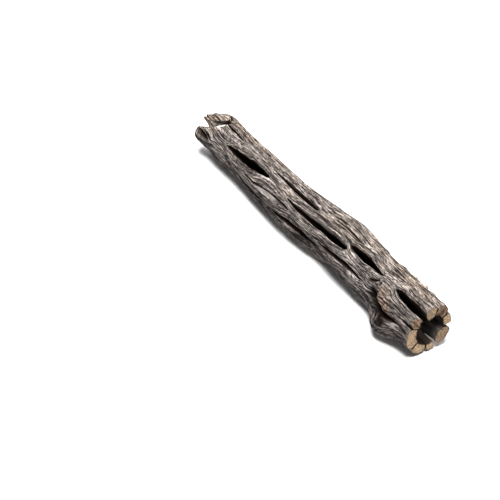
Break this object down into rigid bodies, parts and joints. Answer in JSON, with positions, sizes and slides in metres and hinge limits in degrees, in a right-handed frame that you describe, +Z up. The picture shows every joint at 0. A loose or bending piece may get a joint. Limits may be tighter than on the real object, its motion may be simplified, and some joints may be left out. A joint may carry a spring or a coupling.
{
  "type": "cholla cactus skeleton",
  "caption": "Hollow dried cholla stem lying on its side: a wood net of strands round long pointed openings, sawn square at one end and broken at the other.",
  "frame": {"origin": "middle of the bounding box in x and y, at the lowest wood", "axes": "+X along the stem towards the sawn end, +Z up as it rests, the branch knuckle towards -Y"},
  "size_m": [0.156, 0.0258, 0.0198],
  "materials": {
    "wood": "weathered, dry and rough"
  },
  "bodies": {
    "root": {"cholla_skeleton": "wood"}
  },
  "joints": []
}
